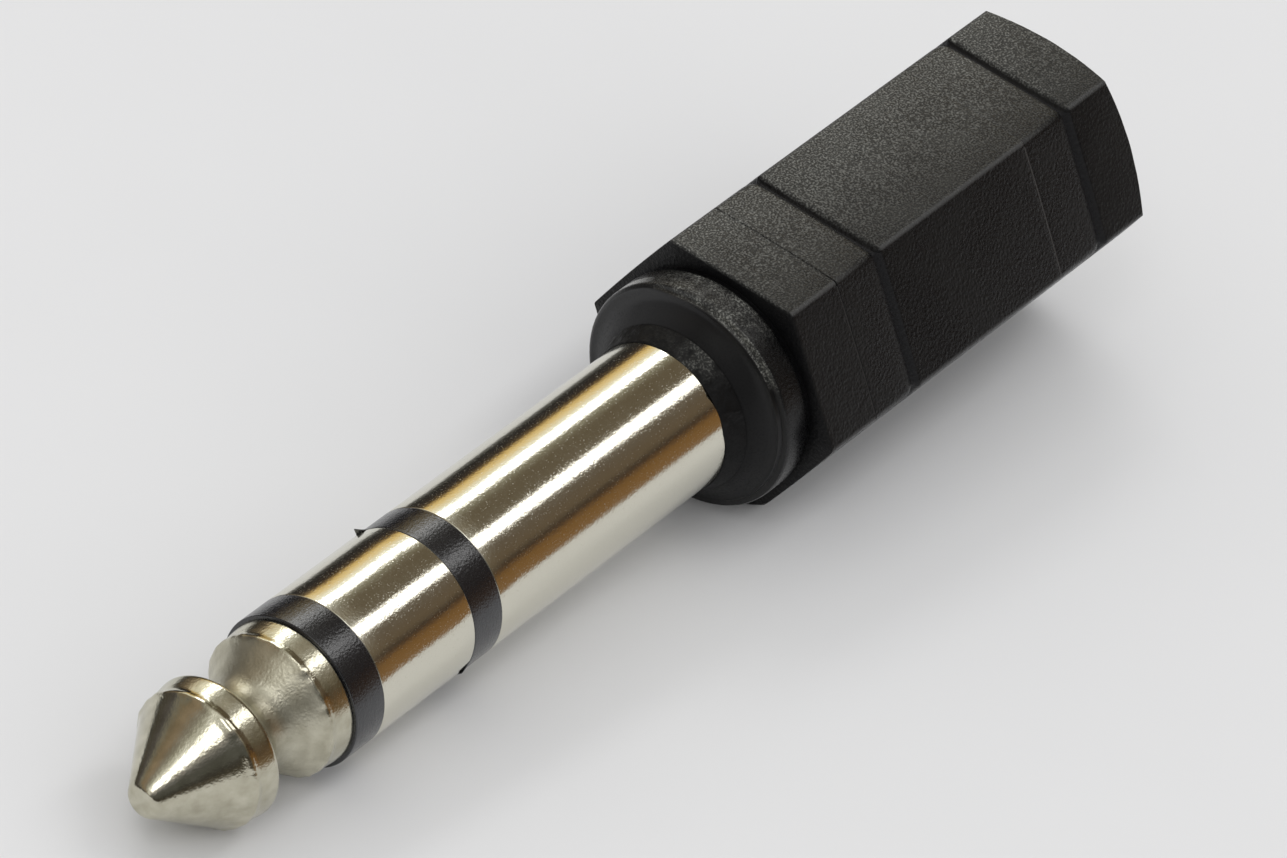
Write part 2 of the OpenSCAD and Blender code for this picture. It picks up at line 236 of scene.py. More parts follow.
def makeNickel():
    look = {"colour": (0.69, 0.67, 0.575), "rough": 0.105, "roughSpread": 0.19, "sparkle": 2.2,
            "grainSize": 0.115, "grainDetail": 0.55, "bump": 0.0028, "cloudSize": 0.9, "cloudRough": 0.02,
            "pimpleSize": 0.11, "pimples": 0.0024}
    material, tree, surface, place = newMaterial("polished nickel")
    marks = placeGrain(tree, place, look)
    cloud = placeBlotches(tree, place, look["cloudSize"])
    dots = placeGroup(tree, pimples, {"Vector": place, "Size": look["pimpleSize"]})["Height"]
    sparkle = calc(tree, "POWER", marks["Speck"], look["sparkle"])
    rough = calc(tree, "MULTIPLY_ADD", sparkle, look["roughSpread"], look["rough"])
    rough = calc(tree, "MULTIPLY_ADD", cloud, look["cloudRough"], rough)
    height = calc(tree, "MULTIPLY", marks["Height"], look["bump"])
    height = calc(tree, "MULTIPLY_ADD", dots, look["pimples"], height)
    setSockets(tree, surface, {"Base Color": (*look["colour"], 1), "Metallic": 1.0, "Roughness": rough,
                               "Normal": dentedNormal(tree, height, 1.0)})
    return material


def makeTipNickel():
    look = {"light": (0.64, 0.615, 0.50), "dark": (0.47, 0.445, 0.345), "roughSpread": 0.14, "cloudSize": 0.6,
            "cloudRough": 0.02, "waveSize": 0.30, "wave": 0.010, "grainSize": 0.11, "grainDetail": 0.6,
            "bump": 0.0105, "leastBump": 0.3, "start": 0.0, "span": 10.0}
    # Distance from the nose, then roughness, depth of the dents and brightness
    finish = [(0.0, (0.085, 0.2, 0.98)), (3.0, (0.08, 0.2, 0.98)),  # cone
              (3.4, (0.11, 0.25, 0.95)), (4.2, (0.13, 0.3, 0.9)),  # land of the head
              (4.6, (0.34, 1.0, 0.86)), (6.0, (0.34, 1.0, 0.86)),  # neck
              (6.5, (0.36, 0.8, 0.96)), (7.1, (0.36, 0.6, 1.0)),  # slope
              (7.3, (0.14, 0.3, 0.95)), (10.0, (0.13, 0.3, 0.95))]  # land of the shoulder
    material, tree, surface, place = newMaterial("barrel finished nickel")
    marks = placeGrain(tree, place, look)
    waves = newNode(tree, "ShaderNodeTexNoise", {
        "Vector": place, "Scale": 1 / (look["waveSize"] * mm), "Detail": 1.5})
    cloud = placeBlotches(tree, place, look["cloudSize"])
    zones = zonesAlong(tree, splitAxes(tree, place)[0], look["start"], look["span"], finish)
    rough = calc(tree, "MULTIPLY_ADD", product(tree, marks["Speck"], zones[1]), look["roughSpread"], zones[0])
    rough = calc(tree, "MULTIPLY_ADD", cloud, look["cloudRough"], rough)
    dips = product(tree, waves.outputs["Fac"], look["wave"], zones[1])
    deep = calc(tree, "MULTIPLY_ADD", zones[1], look["bump"], look["leastBump"] * look["bump"])
    height = calc(tree, "MULTIPLY_ADD", marks["Height"], deep, dips)
    shade = mixColours(tree, cloud, look["light"], look["dark"])
    shade = mixColours(tree, zones[2], (0.0, 0.0, 0.0), shade)
    setSockets(tree, surface, {"Base Color": shade, "Metallic": 1.0, "Roughness": rough,
                               "Normal": dentedNormal(tree, height, 1.0)})
    return material


def makeRingPlastic():
    look = {"colour": (0.0055, 0.0062, 0.0088), "gloss": 0.85, "rough": 0.18, "roughSpread": 0.16,
            "pitch": 0.12, "wander": 1.0, "grainSize": 0.10, "grainDetail": 0.6, "grainDepth": 1.3,
            "depth": 0.02, "strength": 0.40}
    material, tree, surface, place = newMaterial("black ring plastic")
    marks = placeGrain(tree, place, look)
    rings = placeGroup(tree, turning, {"Vector": place, "Pitch": look["pitch"], "Wander": look["wander"]})
    rough = calc(tree, "MULTIPLY_ADD", marks["Speck"], look["roughSpread"], look["rough"])
    height = calc(tree, "MULTIPLY_ADD", marks["Height"], look["grainDepth"], rings["Height"])
    setSockets(tree, surface, {"Base Color": (*look["colour"], 1), "Roughness": rough,
                               "Normal": dentedNormal(tree, height, look["depth"], look["strength"]),
                               "Specular IOR Level": look["gloss"]})
    return material


def makeGripPlastic():
    look = {"dark": (0.0028, 0.0028, 0.0032), "light": (0.0058, 0.0058, 0.0060), "gloss": 0.185,
            "roughSpread": 0.2, "cloudSize": 2.2, "cloudRough": 0.05, "patchSize": 0.5, "patchPolish": 0.3,
            "lumps": 1.2, "grainSize": 0.14, "grainDetail": 0.7, "depth": 0.04, "shineRough": 0.22,
            "start": 30.0, "span": 30.0}
    # Distance from the nose, then roughness, depth of the grain and clear shine
    finish = [(30.3, (0.64, 0.7, 0.0)), (31.17, (0.58, 0.7, 0.0)),  # boss
              (31.24, (0.55, 0.12, 0.0)), (31.8, (0.50, 0.08, 0.15)), (31.92, (0.40, 0.06, 0.35)),  # face
              (32.05, (0.24, 0.8, 0.4)), (32.2, (0.24, 1.2, 0.1)), (33.3, (0.22, 1.4, 0.0)),  # collar
              (33.55, (0.30, 0.8, 0.0)), (34.5, (0.26, 1.0, 0.0)), (38.0, (0.24, 1.0, 0.0)),  # hexagon
              (50.7, (0.24, 1.0, 0.0)), (51.5, (0.30, 0.9, 0.0)), (60.0, (0.28, 0.9, 0.0))]
    # Where the edge polish and the painted light fade in, as start in millimetres and rise per millimetre. dots
    # and cloudy: factor, offset. The three colours are those of painted sheen, painted highlights and a painted
    # highlight along the corners
    polishAndPaintedLight = {"top": (4.975, 9.0), "topLeft": (-4.769, 0.13), "collarTopGlint": (3.9, 1.5), "corner": (5.805, 20.0),
            "dots": (0.66, 0.085), "cloudy": (0.35, 0.83), "crest": (0.34, 0.34, 0.31),
            "highlightColour": (0.26, 0.26, 0.235), "edgeGlintColour": (0.07, 0.07, 0.07), "edgeGlintPart": 0.7,
            "cornerPolish": 0.10}
    # Front parts: where each lies along the axis, and where its finish and its painted light fade in across it
    bossPart = {"end": 31.2, "above": (0.6, 1.0), "glintAbove": (2.75, 1.8), "glintRight": (0.0, -1.5)}
    face = {"along": (31.22, 31.93), "colour": (0.0045, 0.0045, 0.005), "leftColour": (0.022, 0.022, 0.023),
            "left": (-0.25, 0.4)}
    lip = {"along": (31.93, 32.12), "above": (2.6, 1.5), "right": (-0.267, -1.5)}
    rim = {"along": (32.15, 32.6), "left": (2.6, 1.2), "colour": (0.27, 0.27, 0.26)}
    collar = {"end": 33.4, "sides": (3.4, -0.6), "smoothing": -0.8}
    # Painted highlights along the witness lines and painted light lifting the shade in the grooves, on the side
    # flats: middle and half width
    paintedLightLines = {"below": 4.9, "edge": (0.040, 0.038, 0.037), "grooveLift": (0.011, 0.011, 0.012),
                 "witness": ((36.37, 0.035), (48.45, 0.035)), "groove": ((38.95, 0.25), (51.23, 0.25))}
    material, tree, surface, place = newMaterial("black grained plastic")
    marks = placeGrain(tree, place, look)
    cloud = placeBlotches(tree, place, look["cloudSize"])
    patches = placeBlotches(tree, place, look["patchSize"])
    x, y, z = splitAxes(tree, place)
    zones = zonesAlong(tree, x, look["start"], look["span"], finish)
    across = newNode(tree, "ShaderNodeCombineXYZ", {"X": 0.0, "Y": y, "Z": z}).outputs[0]
    radius = newNode(tree, "ShaderNodeVectorMath", {0: across}, operation="LENGTH").outputs["Value"]
    # Mask along the hexagon's corners: smoother there, and painted with a highlight
    polishAndGlintEdges = fadeIn(tree, radius, *polishAndPaintedLight["corner"])
    onBoss = calc(tree, "LESS_THAN", x, bossPart["end"] * mm)
    onBoss = product(tree, onBoss, fadeIn(tree, z, *bossPart["above"]))
    onCollar = calc(tree, "LESS_THAN", x, collar["end"] * mm)
    rough = calc(tree, "MULTIPLY_ADD", marks["Speck"], look["roughSpread"], zones[0])
    rough = calc(tree, "MULTIPLY_ADD", cloud, look["cloudRough"], rough)
    rough = calc(tree, "MULTIPLY_ADD", polishAndGlintEdges, -polishAndPaintedLight["cornerPolish"], rough)
    rough = calc(tree, "MULTIPLY_ADD", product(tree, onBoss, patches), -look["patchPolish"], rough, clamp=True)
    shade = mixColours(tree, cloud, look["dark"], look["light"])
    # Painted sheen: lighter grain on the top flat, more at the left, and painted highlights in patches on top
    # of the collar
    dotted = calc(tree, "MULTIPLY_ADD", marks["Speck"], *polishAndPaintedLight["dots"])
    sheenOnTop = product(tree, fadeIn(tree, z, *polishAndPaintedLight["top"]), fadeIn(tree, y, *polishAndPaintedLight["topLeft"]))
    collarTopGlint = product(tree, fadeIn(tree, z, *polishAndPaintedLight["collarTopGlint"]), onCollar, patches)
    uneven = calc(tree, "MULTIPLY_ADD", cloud, *polishAndPaintedLight["cloudy"])
    grainAndSheen = product(tree, calc(tree, "MAXIMUM", sheenOnTop, collarTopGlint), uneven, dotted)
    shade = mixColours(tree, grainAndSheen, shade, polishAndPaintedLight["crest"])
    # Painted highlight: a light line along the hexagon's corners
    shade = mixColours(tree, product(tree, polishAndGlintEdges, polishAndPaintedLight["edgeGlintPart"]), shade, polishAndPaintedLight["edgeGlintColour"])
    # Smooth face of the collar, with painted light making it a little lighter at the left
    faceColourLitLeft = mixColours(tree, fadeIn(tree, y, *face["left"]), face["colour"], face["leftColour"])
    shade = mixColours(tree, between(tree, x, *face["along"]), shade, faceColourLitLeft)
    # Painted highlights: along the lip at the right of the top, on the left rim, and in spots on the boss
    lipGlint = product(tree, between(tree, x, *lip["along"]), fadeIn(tree, z, *lip["above"]),
                    fadeIn(tree, y, *lip["right"]), dotted)
    shade = mixColours(tree, lipGlint, shade, polishAndPaintedLight["highlightColour"])
    rimGlint = product(tree, between(tree, x, *rim["along"]), fadeIn(tree, y, *rim["left"]))
    shade = mixColours(tree, rimGlint, shade, rim["colour"])
    bossGlints = product(tree, fadeIn(tree, z, *bossPart["glintAbove"]), fadeIn(tree, y, *bossPart["glintRight"]),
                    patches, onBoss, dotted)
    shade = mixColours(tree, bossGlints, shade, polishAndPaintedLight["highlightColour"])
    below = calc(tree, "LESS_THAN", z, paintedLightLines["below"] * mm)
    # Painted highlights on the witness steps and painted light in the grooves, below the top flat
    for places, colour in ((paintedLightLines["witness"], paintedLightLines["edge"]), (paintedLightLines["groove"], paintedLightLines["grooveLift"])):
        for middle, halfWidth in places:
            away = calc(tree, "ABSOLUTE", calc(tree, "SUBTRACT", x, middle * mm))
            near = product(tree, calc(tree, "LESS_THAN", away, halfWidth * mm), below)
            shade = mixColours(tree, near, shade, colour)
    # The collar's sides are smoother than its top, and the boss is lumpy
    sides = product(tree, fadeIn(tree, z, *collar["sides"]), onCollar)
    smoother = calc(tree, "MULTIPLY_ADD", sides, collar["smoothing"], 1.0)
    lumps = product(tree, patches, onBoss, look["lumps"])
    height = calc(tree, "MULTIPLY_ADD", marks["Height"], product(tree, zones[1], smoother), lumps)
    setSockets(tree, surface, {"Base Color": shade, "Roughness": rough,
                               "Normal": dentedNormal(tree, height, look["depth"]),
                               "Specular IOR Level": look["gloss"], "Coat Weight": zones[2],
                               "Coat Roughness": look["shineRough"], "Coat IOR": 1.5})
    return material


def makePlain(name, colour, metallic, rough, grainSize=0.12, bump=0.2):
    look = {"grainSize": grainSize, "grainDetail": 0.6, "roughSpread": 0.12, "depth": 0.02}
    material, tree, surface, place = newMaterial(name)
    marks = placeGrain(tree, place, look)
    spread = calc(tree, "MULTIPLY_ADD", marks["Speck"], look["roughSpread"], rough)
    setSockets(tree, surface, {"Base Color": (*colour, 1), "Metallic": metallic, "Roughness": spread,
                               "Normal": dentedNormal(tree, marks["Height"], look["depth"], bump)})
    return material


nickel = makeNickel()
tipNickel = makeTipNickel()
ringPlastic = makeRingPlastic()
gripPlastic = makeGripPlastic()
socketPlastic = makePlain("black socket plastic", (0.02, 0.02, 0.021), metallic=0.0, rough=0.45, grainSize=0.1,
                          bump=0.4)
brass = makePlain("stamped brass", (0.72, 0.52, 0.24), metallic=1.0, rough=0.3)
springMetal = makePlain("plated spring strip", (0.72, 0.69, 0.63), metallic=1.0, rough=0.22)
washerBoard = makePlain("washer board", (0.30, 0.17, 0.07), metallic=0.0, rough=0.6, grainSize=0.2, bump=0.5)
wireMetal = makePlain("tinned wire", (0.66, 0.60, 0.52), metallic=1.0, rough=0.3)
print("materials made")


# Mesh helpers: outlines are lists of (distance from the nose, radius, rounding) in millimetres

def roundOff(outline, closed):
    arcSteps = 6
    points = []
    count = len(outline)
    for i, (x, r, rounding) in enumerate(outline):
        here = Vector((x, r))
        if rounding <= 0 or (not closed and i in (0, count - 1)):
            points.append(here)
            continue
        before = Vector(outline[i - 1][:2]) - here
        after = Vector(outline[(i + 1) % count][:2]) - here
        angle = before.angle(after)
        reach = rounding / math.tan(angle / 2)
        reach = min(reach, before.length * 0.49, after.length * 0.49)
        radius = reach * math.tan(angle / 2)
        centre = here + (before.normalized() + after.normalized()).normalized() * (radius / math.sin(angle / 2))
        start = here + before.normalized() * reach - centre
        end = here + after.normalized() * reach - centre
        turn = math.atan2(start.x * end.y - start.y * end.x, start.dot(end))
        first = math.atan2(start.y, start.x)
        for k in range(arcSteps + 1):
            a = first + turn * k / arcSteps
            points.append(centre + Vector((math.cos(a), math.sin(a))) * radius)
    return [(p.x, p.y) for p in points]


def densify(points, closed, longest):
    result = []
    count = len(points)
    for i in range(count if closed else count - 1):
        x0, r0 = points[i]
        x1, r1 = points[(i + 1) % count]
        parts = max(1, math.ceil(math.hypot(x1 - x0, r1 - r0) / longest))
        result += [(x0 + (x1 - x0) * k / parts, r0 + (r1 - r0) * k / parts) for k in range(parts)]
    if not closed:
        result.append(points[-1])
    return result


def finishPiece(name, verts, faces, material, replaced, sharp=32):
    mesh = bpy.data.meshes.new(name)
    mesh.from_pydata([layMatrix @ (Vector(v) * mm) for v in verts], [], faces)
    mesh.validate()
    mesh.shade_smooth()
    mesh.set_sharp_from_angle(angle=math.radians(sharp))
    mesh.materials.append(material)
    piece = bpy.data.objects.new(name, mesh)
    bpy.context.scene.collection.objects.link(piece)
    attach(piece, "root")
    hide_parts(replaced)


def turnedPiece(name, outline, closed, material, replaced, segments=192, shape=None, longest=1.2):
    points = densify(roundOff(outline, closed), closed, longest)
    verts, rows = [], []
    for x, r in points:
        if r < 1e-6:
            rows.append([len(verts)] * segments)
            verts.append((x, 0, 0))
            continue
        rows.append([])
        for k in range(segments):
            a = 2 * math.pi * k / segments
            rows[-1].append(len(verts))
            px, pr = shape(x, r, a) if shape else (x, r)
            verts.append((px, pr * math.sin(a), pr * math.cos(a)))
    pairs = list(zip(rows, rows[1:])) + ([(rows[-1], rows[0])] if closed else [])
    faces = []
    for low, high in pairs:
        for k in range(segments):
            corners = [low[k], low[(k + 1) % segments], high[(k + 1) % segments], high[k]]
            kept = [c for i, c in enumerate(corners) if c not in corners[:i]]
            if len(kept) > 2:
                faces.append(kept)
    finishPiece(name, verts, faces, material, replaced)


# 1 at the middle, falling to 0 at half to either side
def peak(value, middle, half):
    return max(0, 1 - abs(value - middle) / half)


# Plug: outlines run from the axis or the inner wall outwards, then rearwards

plug = {"radius": 3.175, "tipEnd": 8.35, "bandStart": 9.95, "bandEnd": 15.2, "sleeveStart": 16.8,
        "sleeveEnd": 30.3}

tip = {"segments": 320, "longest": 0.18,
       "cone": [(0, 0, 0), (0, 0.635, 0.42), (2.95, 2.70, 0), (3.03, 2.79, 0)],
       "head": [(3.11, 2.85, 0), (3.20, 2.872, 0), (3.29, 2.853, 0), (3.38, 2.828, 0), (3.50, 2.835, 0),
                (3.64, 2.867, 0), (4.238, 2.965, 0.25)],
       "neck": [(5.224, 1.83, 0.85), (6.027, 1.83, 1.1)],
       "shoulder": [(7.12, 2.81, 0), (7.19, 2.90, 0), (7.26, 2.950, 0), (7.34, 2.956, 0), (7.43, 2.930, 0),
                    (7.55, 2.928, 0), (7.70, 2.955, 0), (plug["tipEnd"], 3.03, 0.05)],
       "rod": [(plug["tipEnd"], 1.2, 0), (36.7, 1.2, 0), (36.7, 1.6, 0), (36.925, 1.6, 0), (37.15, 0.8, 0),
               (37.15, 0, 0)],
       # Raised beads on the front edges of head and shoulder: middle and half width; they are a little uneven
       "beads": ((3.15, 0.35), (7.28, 0.3)), "unevenAlong": 0.06, "unevenOut": 0.035,
       "stretch": (1.2, 2.4, 2.4), "secondPlace": (9, 0, 0)}


def tipShape(x, r, a):
    bead = sum(peak(x, middle, half) for middle, half in tip["beads"])
    along, side, up = tip["stretch"]
    place = Vector((x * along, r * math.sin(a) * side, r * math.cos(a) * up))
    return (x + tip["unevenAlong"] * bead * noise.noise(place + Vector(tip["secondPlace"])),
            r + tip["unevenOut"] * bead * noise.noise(place))


tipOutline = tip["cone"] + tip["head"] + tip["neck"] + tip["shoulder"] + tip["rod"]
turnedPiece("tipPiece", tipOutline, False, tipNickel, "tip_contact", tip["segments"], tipShape,
            tip["longest"])

frontRing = {"bore": 1.23, "tube": 1.59, "tubeEnd": 35.7, "frontEdge": 0.05, "rearEdge": 0.03}
frontRingOutline = [
    (plug["tipEnd"], frontRing["bore"], 0), (plug["tipEnd"], plug["radius"], frontRing["frontEdge"]),
    (plug["bandStart"], plug["radius"], frontRing["rearEdge"]), (plug["bandStart"], frontRing["tube"], 0),
    (frontRing["tubeEnd"], frontRing["tube"], 0), (frontRing["tubeEnd"], frontRing["bore"], 0)]
turnedPiece("frontRingPiece", frontRingOutline, True, ringPlastic, "tip_insulator")

band = {"bore": 1.62, "tube": 2.04, "tubeEnd": 35.4, "rivet": 2.34, "rivetTop": 35.55, "end": 35.7,
        "edge": 0.04}
bandOutline = [
    (plug["bandStart"], band["bore"], 0), (plug["bandStart"], plug["radius"], band["edge"]),
    (plug["bandEnd"], plug["radius"], band["edge"]), (plug["bandEnd"], band["tube"], 0),
    (band["tubeEnd"], band["tube"], 0), (band["tubeEnd"], band["rivet"], 0),
    (band["rivetTop"], band["rivet"], 0), (band["end"], band["tube"], 0), (band["end"], band["bore"], 0)]
turnedPiece("bandPiece", bandOutline, True, nickel, "ring_contact")

# Thin burrs stand over the band at the left and at the lower right: angle and half width in degrees, how far
# each reaches forwards and outwards, and how sharply it rises outwards
rearRing = {"bore": 2.07, "tube": 2.57, "tubeEnd": 34.4, "edge": 0.03, "segments": 240, "burrRoot": 15.36,
            "burrs": ((54, 8, 0.20, 0.03, 1), (54, 5, 0, 0.22, 1), (245, 13, 0.24, 0.09, 1.5)),
            "innermost": 3.15, "rearmost": 15.3, "sharpness": 1.5}


def rearRingShape(x, r, a):
    if r < rearRing["innermost"] or x > rearRing["rearmost"]:
        return x, r
    px, pr = x, r
    for middle, half, forwards, outwards, outSharpness in rearRing["burrs"]:
        part = peak(math.degrees(a), middle, half)
        px -= forwards * part ** rearRing["sharpness"]
        pr += outwards * part ** outSharpness
    return px, pr


rearRingOutline = [
    (plug["bandEnd"], rearRing["bore"], 0), (plug["bandEnd"], plug["radius"], rearRing["edge"]),
    (rearRing["burrRoot"], plug["radius"], 0), (plug["sleeveStart"], plug["radius"], rearRing["edge"]),
    (plug["sleeveStart"], rearRing["tube"], 0), (rearRing["tubeEnd"], rearRing["tube"], 0),
    (rearRing["tubeEnd"], rearRing["bore"], 0)]
turnedPiece("rearRingPiece", rearRingOutline, True, ringPlastic, "ring_insulator",
            rearRing["segments"], rearRingShape)

sleeve = {"bore": 2.6, "edge": 0.05, "neck": 2.995, "flangeStart": 33.2, "flangeEnd": 34.0, "flange": 4.0,
          "segments": 256}
sleeveOutline = [
    (plug["sleeveStart"], sleeve["bore"], 0), (plug["sleeveStart"], plug["radius"], sleeve["edge"]),
    (plug["sleeveEnd"], plug["radius"], 0), (plug["sleeveEnd"], sleeve["neck"], 0),
    (sleeve["flangeStart"], sleeve["neck"], 0), (sleeve["flangeStart"], sleeve["flange"], 0),
    (sleeve["flangeEnd"], sleeve["flange"], 0), (sleeve["flangeEnd"], sleeve["bore"], 0)]
turnedPiece("sleevePiece", sleeveOutline, True, nickel, "sleeve_contact", sleeve["segments"])

bush = {"start": 49.45, "bore": 1.8, "flange": 3.6, "flangeEnd": 50.25, "barrel": 3.0, "end": 54.45,
        "mouth": 2.05, "mouthStart": 54.2, "outerEdge": 0.05, "mouthEdge": 0.03, "innerEdge": 0.05}
bushOutline = [
    (bush["start"], bush["bore"], 0), (bush["start"], bush["flange"], 0),
    (bush["flangeEnd"], bush["flange"], 0), (bush["flangeEnd"], bush["barrel"], 0),
    (bush["end"], bush["barrel"], bush["outerEdge"]),
    (bush["end"], bush["mouth"], bush["mouthEdge"]), (bush["mouthStart"], bush["bore"], bush["innerEdge"])]
turnedPiece("bushPiece", bushOutline, True, nickel, "socket_bush")
print("plug and bush made")


# Grip: one closed skin of loops, from the hollow's front round the outside to the rear and back inside

grip = {
    "apothem": 5.125, "front": 33.6, "end": 54.45, "witness": 2.77, "groove": 5.12, "pitch": 12.08,
    "flatSteps": 12, "cornerSteps": 6, "corner": 0.13, "bandCorner": 0.30, "crown": 0.045, "crownReach": 2.96,
    "raise": 0.008, "grooveShift": (0.10, 0.30), "witnessDepth": (0.045, 0.008), "sharp": 28,
    "blunt": {"angle": -150, "half": 15, "radius": 5.5, "rise": 0.42, "power": 0.7},
    "bevel": {"length": 0.55, "lead": 0.15, "steps": 8, "inset": 0.05, "radius": 4.7},
    # Round loops share out their points as the hexagon does
    "guide": {"apothem": 5.0, "corner": 0.3},
    "left": {"from": 12, "over": 24}, "notch": {"half": 0.84, "depth": 4.1}, "ragged": (1.5, 5, 5),
    # Front edge of the hexagon: distance from its front, and how far it drops
    "frontEdge": [(0, 0.05), (0.015, 0.015), (0.05, 0), (0.15, 0), (0.3, 0), (0.5, 0), (0.75, 0), (1.1, 0)],
    # Section of a groove: distance from its middle, depth, and rounding of the corners
    "grooveSection": [
        (-0.55, 0, 0.5), (-0.32, 0.015, 0.5), (-0.17, 0.045, 0.5), (-0.07, 0.09, 0.5), (0.0, 0.15, 0.45),
        (0.04, 0.20, 0.4), (0.09, 0.23, 0.3), (0.15, 0.23, 0.3), (0.20, 0.20, 0.3), (0.25, 0.14, 0.3),
        (0.31, 0.065, 0.28), (0.37, 0.022, 0.22)],
    "grooveRear": 0.45,
    # Boss, a crease, and a hollow curve up to the collar's face: distance, radius and unevenness
    "boss": [
        (30.36, 3.25, 0), (30.55, 3.31, 0.05), (30.72, 3.37, 0.06), (30.9, 3.43, 0.06), (31.08, 3.49, 0.04),
        (31.15, 3.505, 0), (31.19, 3.45, 0), (31.23, 3.50, 0), (31.30, 3.58, 0), (31.42, 3.70, 0),
        (31.56, 3.84, 0), (31.70, 3.99, 0), (31.81, 4.14, 0), (31.87, 4.28, 0)],
    # Collar: a lip and a step, but one full round at the left: distance and radius, then both at the left
    "collar": [
        (31.89, 4.38, 31.9, 4.45), (31.895, 4.40, 31.9, 4.55), (31.89, 4.43, 31.905, 4.60),
        (31.90, 4.46, 31.92, 4.65), (31.94, 4.48, 31.943, 4.69), (32.02, 4.49, 31.973, 4.727),
        (32.05, 4.51, 32.01, 4.757), (32.06, 4.68, 32.05, 4.78), (32.08, 4.75, 32.10, 4.795),
        (32.14, 4.79, 32.15, 4.8), (32.22, 4.8, 32.22, 4.8)],
    "collarRear": [(33.14, 4.8), (33.22, 4.79), (33.28, 4.75), (33.32, 4.69), (33.40, 4.665), (33.6, 4.66)],
    # Hollow, from the rear to the front, round the bush, the socket, the tags and the sleeve's flange:
    # distance, radius, and whether the socket's seat has its notch there
    "hollow": [
        (54.45, 3.02, False), (50.25, 3.02, False), (50.25, 3.62, False), (49.46, 3.62, False),
        (49.45, 3.62, True), (39.35, 3.62, True), (39.35, 4.246, False), (34.0, 4.246, False),
        (34.0, 4.02, False), (33.2, 4.02, False), (33.2, 3.015, False)],
}
# Moulding flash where the boss ends on the sleeve: a thin skin, with a tongue at the left and a curl at the
# right. loops: share of its reach, and radius
flash = {"start": 30.3, "bore": 3.02, "radius": 3.18, "length": 0.05, "uneven": 0.06, "stretch": 4,
         "secondPlace": 3, "tongue": {"angle": 84, "half": 34, "length": 0.9},
         "curl": {"angle": -40, "half": 7, "length": 0.06, "lift": 0.07},
         "loops": ((1.0, 3.18), (0.96, 3.2), (0.3, 3.225))}


def hexLoop(x, apothem, rounding, limit=None):
    loop = []
    flat, half = grip["crownReach"], math.pi / 6
    cut = limit is not None and limit < apothem / math.cos(half)
    distance = apothem + grip["raise"]
    reach, end, lean = apothem * math.tan(half), distance, 0
    for _ in range(6):
        end = distance - grip["crown"] * (reach / flat) ** 2
        lean = 2 * grip["crown"] * reach / flat ** 2
        if cut:
            reach = math.sqrt(max(0, limit * limit - end * end))
        else:
            reach = (end - rounding * math.cos(lean)) * math.tan(half) + rounding * math.sin(lean)
    if cut and reach == 0:
        distance = limit
    for side in range(6):
        mid = 2 * half * side
        for k in range(grip["flatSteps"] + 1):
            s = reach * (2 * k / grip["flatSteps"] - 1)
            d = distance - grip["crown"] * (s / flat) ** 2
            loop.append((x, d * math.sin(mid) + s * math.cos(mid), d * math.cos(mid) - s * math.sin(mid)))
        centre = (end - rounding * math.cos(lean)) / math.cos(half)
        opening = math.atan2(reach, distance - grip["crown"] * (reach / flat) ** 2)
        for k in range(1, grip["cornerSteps"]):
            part = k / grip["cornerSteps"]
            if cut:
                a = mid + opening + 2 * (half - opening) * part
                loop.append((x, limit * math.sin(a), limit * math.cos(a)))
            else:
                a = mid + lean + 2 * (half - lean) * part
                loop.append((x, centre * math.sin(mid + half) + rounding * math.sin(a),
                             centre * math.cos(mid + half) + rounding * math.cos(a)))
    return loop


# Directions of the points of a round loop, as (y, z) of length 1
def roundDirections():
    points = hexLoop(0, grip["guide"]["apothem"], grip["guide"]["corner"])
    return [(y / math.hypot(y, z), z / math.hypot(y, z)) for _, y, z in points]


def roundLoop(x, radius, notch=False, leftX=None, leftRadius=None, ragged=0):
    loop = []
    for y, z in roundDirections():
        px, pr = x, radius
        if leftX is not None:
            part = (math.degrees(math.atan2(y, z)) - grip["left"]["from"]) / grip["left"]["over"]
            part = max(0, min(1, part))
            part = part * part * (3 - 2 * part) if y > 0 else 0
            px, pr = x + (leftX - x) * part, radius + (leftRadius - radius) * part
        if ragged:
            along, side, up = grip["ragged"]
            pr += ragged * noise.noise(Vector((x * along, y * side, z * up)))
        y, z = y * pr, z * pr
        if notch and y > 0 and abs(z) < grip["notch"]["half"]:
            y = grip["notch"]["depth"]
        loop.append((px, y, z))
    return loop


def flashLoop(reach, radius):
    loop = []
    tongue, curl = flash["tongue"], flash["curl"]
    for y, z in roundDirections():
        angle = math.degrees(math.atan2(y, z))
        place = Vector((y * flash["stretch"], z * flash["stretch"], flash["secondPlace"]))
        skin = flash["length"] + flash["uneven"] * noise.noise(place)
        skin += tongue["length"] * peak(angle, tongue["angle"], tongue["half"]) ** 2
        lifted = peak(angle, curl["angle"], curl["half"])
        skin += curl["length"] * lifted
        pr = radius + curl["lift"] * lifted * reach
        loop.append((flash["start"] - skin * reach, y * pr, z * pr))
    return loop


# The lower right front corner of the hexagon is worn blunt
def bluntLoop(x, apothem, rounding):
    blunt = grip["blunt"]
    limit = blunt["radius"] + blunt["rise"] * (x - grip["front"]) ** blunt["power"]
    loop = []
    for px, y, z in hexLoop(x, apothem, rounding):
        off = (math.degrees(math.atan2(y, z)) - blunt["angle"] + 180) % 360 - 180
        part = min(1, limit / math.hypot(y, z)) if abs(off) < blunt["half"] else 1
        loop.append((px, y * part, z * part))
    return loop


